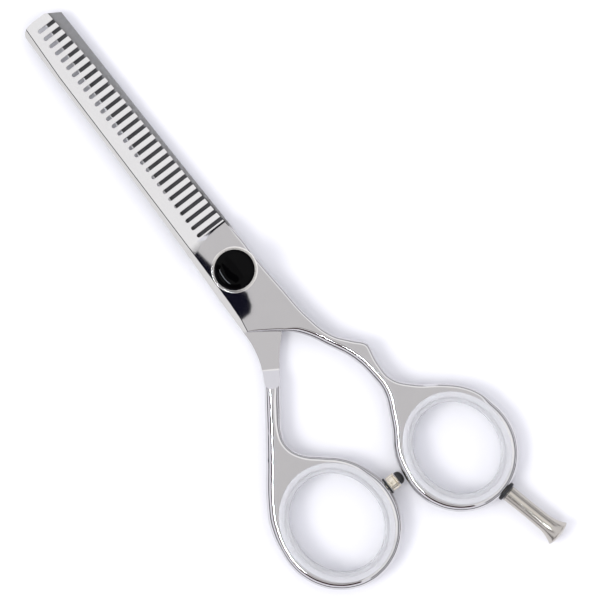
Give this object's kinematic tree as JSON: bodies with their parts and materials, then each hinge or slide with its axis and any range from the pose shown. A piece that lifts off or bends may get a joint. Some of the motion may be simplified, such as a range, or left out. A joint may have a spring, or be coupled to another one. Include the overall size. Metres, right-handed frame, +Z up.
{
  "type": "thinning shears",
  "caption": "Hair thinning shears: a toothed blade over a plain blade on a dial-tensioned pivot, with lined finger and thumb rings, a rubber bumper and a finger rest.",
  "frame": {"origin": "on the blade pivot's axis, at the underside of the pivot screw's head, which is the level that the shears lie on", "axes": "+Z up towards the tension knob, +Y along the closed blades to their tips, +X to the side of the finger ring"},
  "size_m": [0.061, 0.1692, 0.0103],
  "materials": {
    "comb_steel": "mirror-polished stainless steel, fine-ground slope on the toothed zone",
    "plain_steel": "mirror-polished stainless steel",
    "pivot_steel": "turned stainless steel",
    "nylon": "natural bearing plastic",
    "knob_steel": "polished turned steel dial",
    "knob_black": "glossy black dome",
    "clear_insert": "clear soft plastic, slightly cloudy",
    "bumper_steel": "warm nickel-plated barrel",
    "black_rubber": "smooth black rubber",
    "rest_steel": "turned and polished, warm nickel tone"
  },
  "bodies": {
    "finger_half": {"comb_half": "comb_steel", "finger_insert": "clear_insert", "pivot_screw": "pivot_steel", "pivot_bush": "pivot_steel", "blade_washer": "nylon", "face_washer": "nylon", "click_washer": "pivot_steel", "spring_washer": "pivot_steel", "finger_rest": "rest_steel", "finger_rest_washer": "black_rubber"},
    "thumb_half": {"plain_half": "plain_steel", "thumb_insert": "clear_insert", "bumper_stud": "bumper_steel", "bumper_washer": "black_rubber", "bumper_cap": "black_rubber"},
    "knob": {"tension_knob": "knob_steel", "knob_cap": "knob_black"}
  },
  "joints": [
    {"name": "blade_pivot", "type": "hinge", "parent": "finger_half", "child": "thumb_half", "pos_m": [0, 0, 0.0034], "axis": [0, 0, -1], "range_deg": [0, 60]},
    {"name": "knob_turn", "type": "hinge", "parent": "finger_half", "child": "knob", "pos_m": [0, 0, 0.008], "axis": [0, 0, 1], "range_deg": [-180, 180]}
  ]
}
